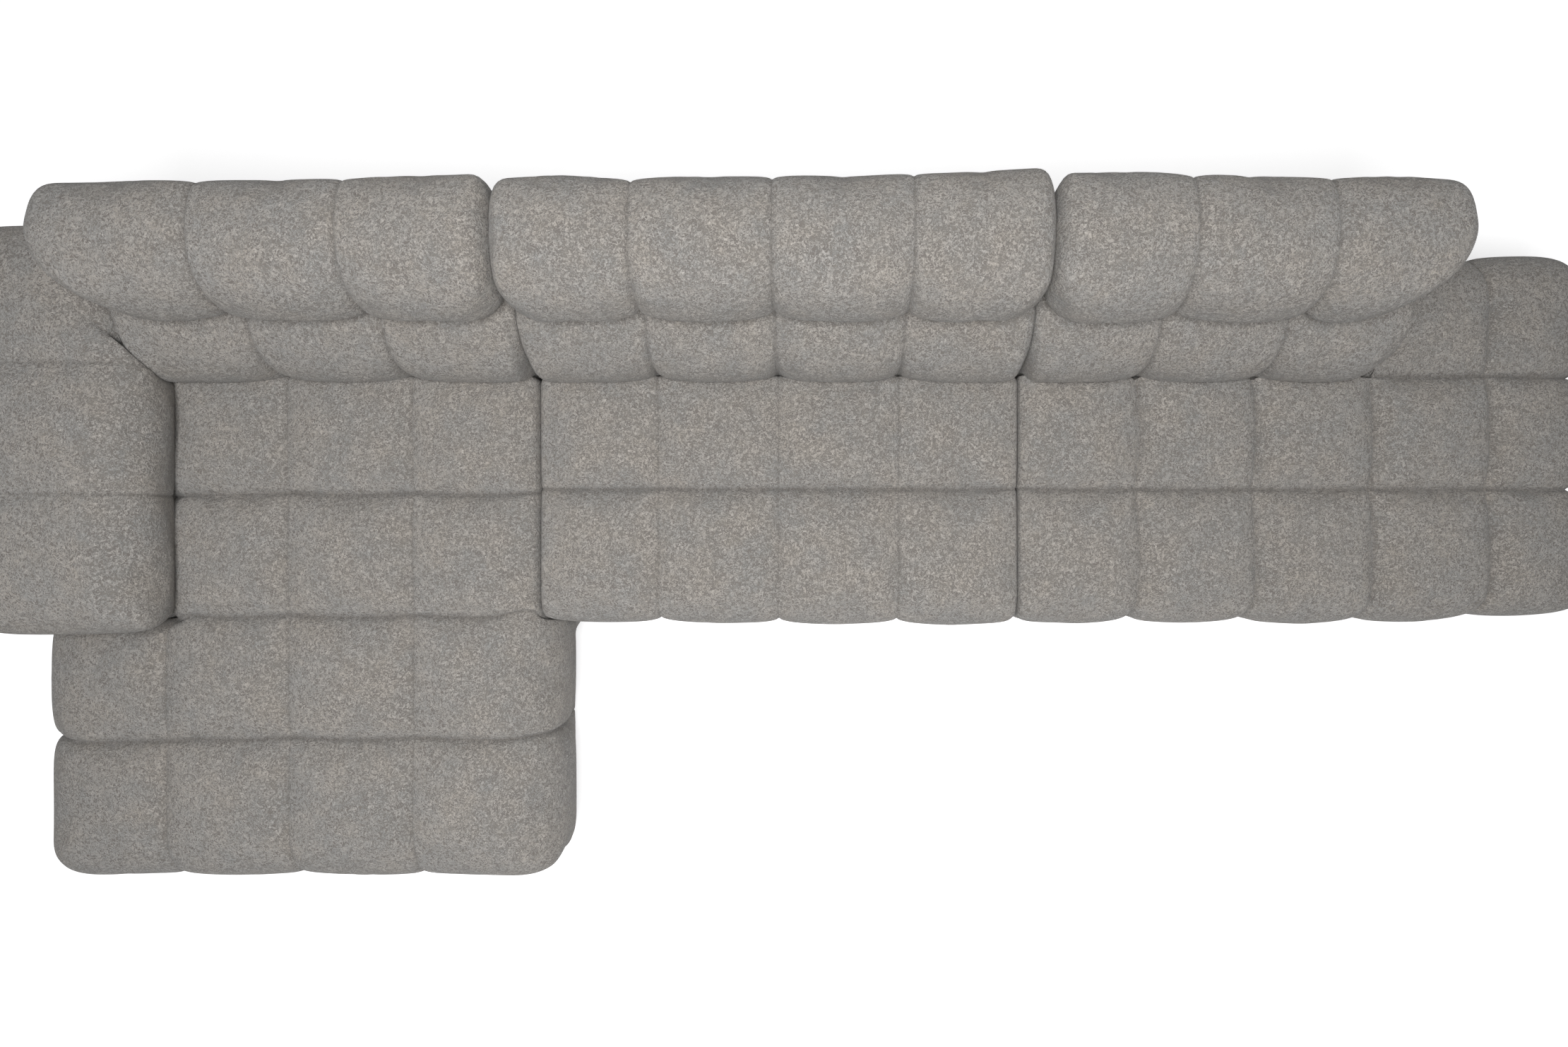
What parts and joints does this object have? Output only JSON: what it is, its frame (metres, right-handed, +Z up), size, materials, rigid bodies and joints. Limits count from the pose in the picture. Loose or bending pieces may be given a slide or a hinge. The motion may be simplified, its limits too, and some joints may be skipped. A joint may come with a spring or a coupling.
{
  "type": "sectional sofa with chaise",
  "caption": "Modular quilted sectional sofa: chaise with one low arm, armless middle, open end seat, and three backs with tilting headrests.",
  "frame": {"origin": "middle of the whole footprint, on the floor", "axes": "+X to the open end on the sitter-facing right, +Y to the rear of the backs, +Z up"},
  "size_m": [3.95, 1.644, 0.8882],
  "materials": {
    "upholstery": "looped taupe grey chenille",
    "foam": "open-cell foam",
    "webbing": "woven elastic strap",
    "dust_cloth": "black non-woven cloth",
    "spring_steel": "black oxide wire",
    "plated_steel": "zinc plated sheet",
    "zinc_steel": "bright zinc",
    "foot_plastic": "moulded black",
    "plywood": "raw plywood",
    "pine": "raw sawn pine"
  },
  "bodies": {
    "sofa": {"arm_cover": "upholstery", "arm_dust_cover": "dust_cloth", "arm_foam": "foam", "arm_frame": "plywood", "chaise_back_cover": "upholstery", "chaise_back_foam": "foam", "chaise_back_frame": "plywood", "chaise_back_straps": "webbing", "chaise_cover": "upholstery", "chaise_cross_rails": "pine", "chaise_dust_cover": "dust_cloth", "chaise_foam": "foam", "chaise_hinge_lower_leaves": "plated_steel", "chaise_hinge_pins": "plated_steel", "chaise_side_rails": "pine", "chaise_springs": "spring_steel", "connector_plates": "plated_steel", "connector_screws": "zinc_steel", "corner_blocks": "pine", "end_back_cover": "upholstery", "end_back_foam": "foam", "end_back_frame": "plywood", "end_back_straps": "webbing", "end_cover": "upholstery", "end_cross_rails": "pine", "end_dust_cover": "dust_cloth", "end_foam": "foam", "end_hinge_lower_leaves": "plated_steel", "end_hinge_pins": "plated_steel", "end_side_rails": "pine", "end_springs": "spring_steel", "feet": "foot_plastic", "frame_bolts": "zinc_steel", "middle_back_cover": "upholstery", "middle_back_foam": "foam", "middle_back_frame": "plywood", "middle_back_straps": "webbing", "middle_cover": "upholstery", "middle_cross_rails": "pine", "middle_dust_cover": "dust_cloth", "middle_foam": "foam", "middle_hinge_lower_leaves": "plated_steel", "middle_hinge_pins": "plated_steel", "middle_side_rails": "pine", "middle_springs": "spring_steel"},
    "chaise_headrest": {"chaise_headrest_board": "plywood", "chaise_headrest_cover": "upholstery", "chaise_headrest_foam": "foam", "chaise_hinge_upper_leaves": "plated_steel"},
    "middle_headrest": {"middle_headrest_board": "plywood", "middle_headrest_cover": "upholstery", "middle_headrest_foam": "foam", "middle_hinge_upper_leaves": "plated_steel"},
    "end_headrest": {"end_headrest_board": "plywood", "end_headrest_cover": "upholstery", "end_headrest_foam": "foam", "end_hinge_upper_leaves": "plated_steel"}
  },
  "joints": [
    {"name": "chaise_headrest_tilt", "type": "hinge", "parent": "sofa", "child": "chaise_headrest", "pos_m": [-1.15, 0.5953, 0.682], "axis": [1, 0, 0], "range_deg": [0, 40]},
    {"name": "middle_headrest_tilt", "type": "hinge", "parent": "sofa", "child": "middle_headrest", "pos_m": [-0.085, 0.5953, 0.682], "axis": [1, 0, 0], "range_deg": [0, 40]},
    {"name": "end_headrest_tilt", "type": "hinge", "parent": "sofa", "child": "end_headrest", "pos_m": [0.953, 0.5953, 0.682], "axis": [1, 0, 0], "range_deg": [0, 40]}
  ]
}
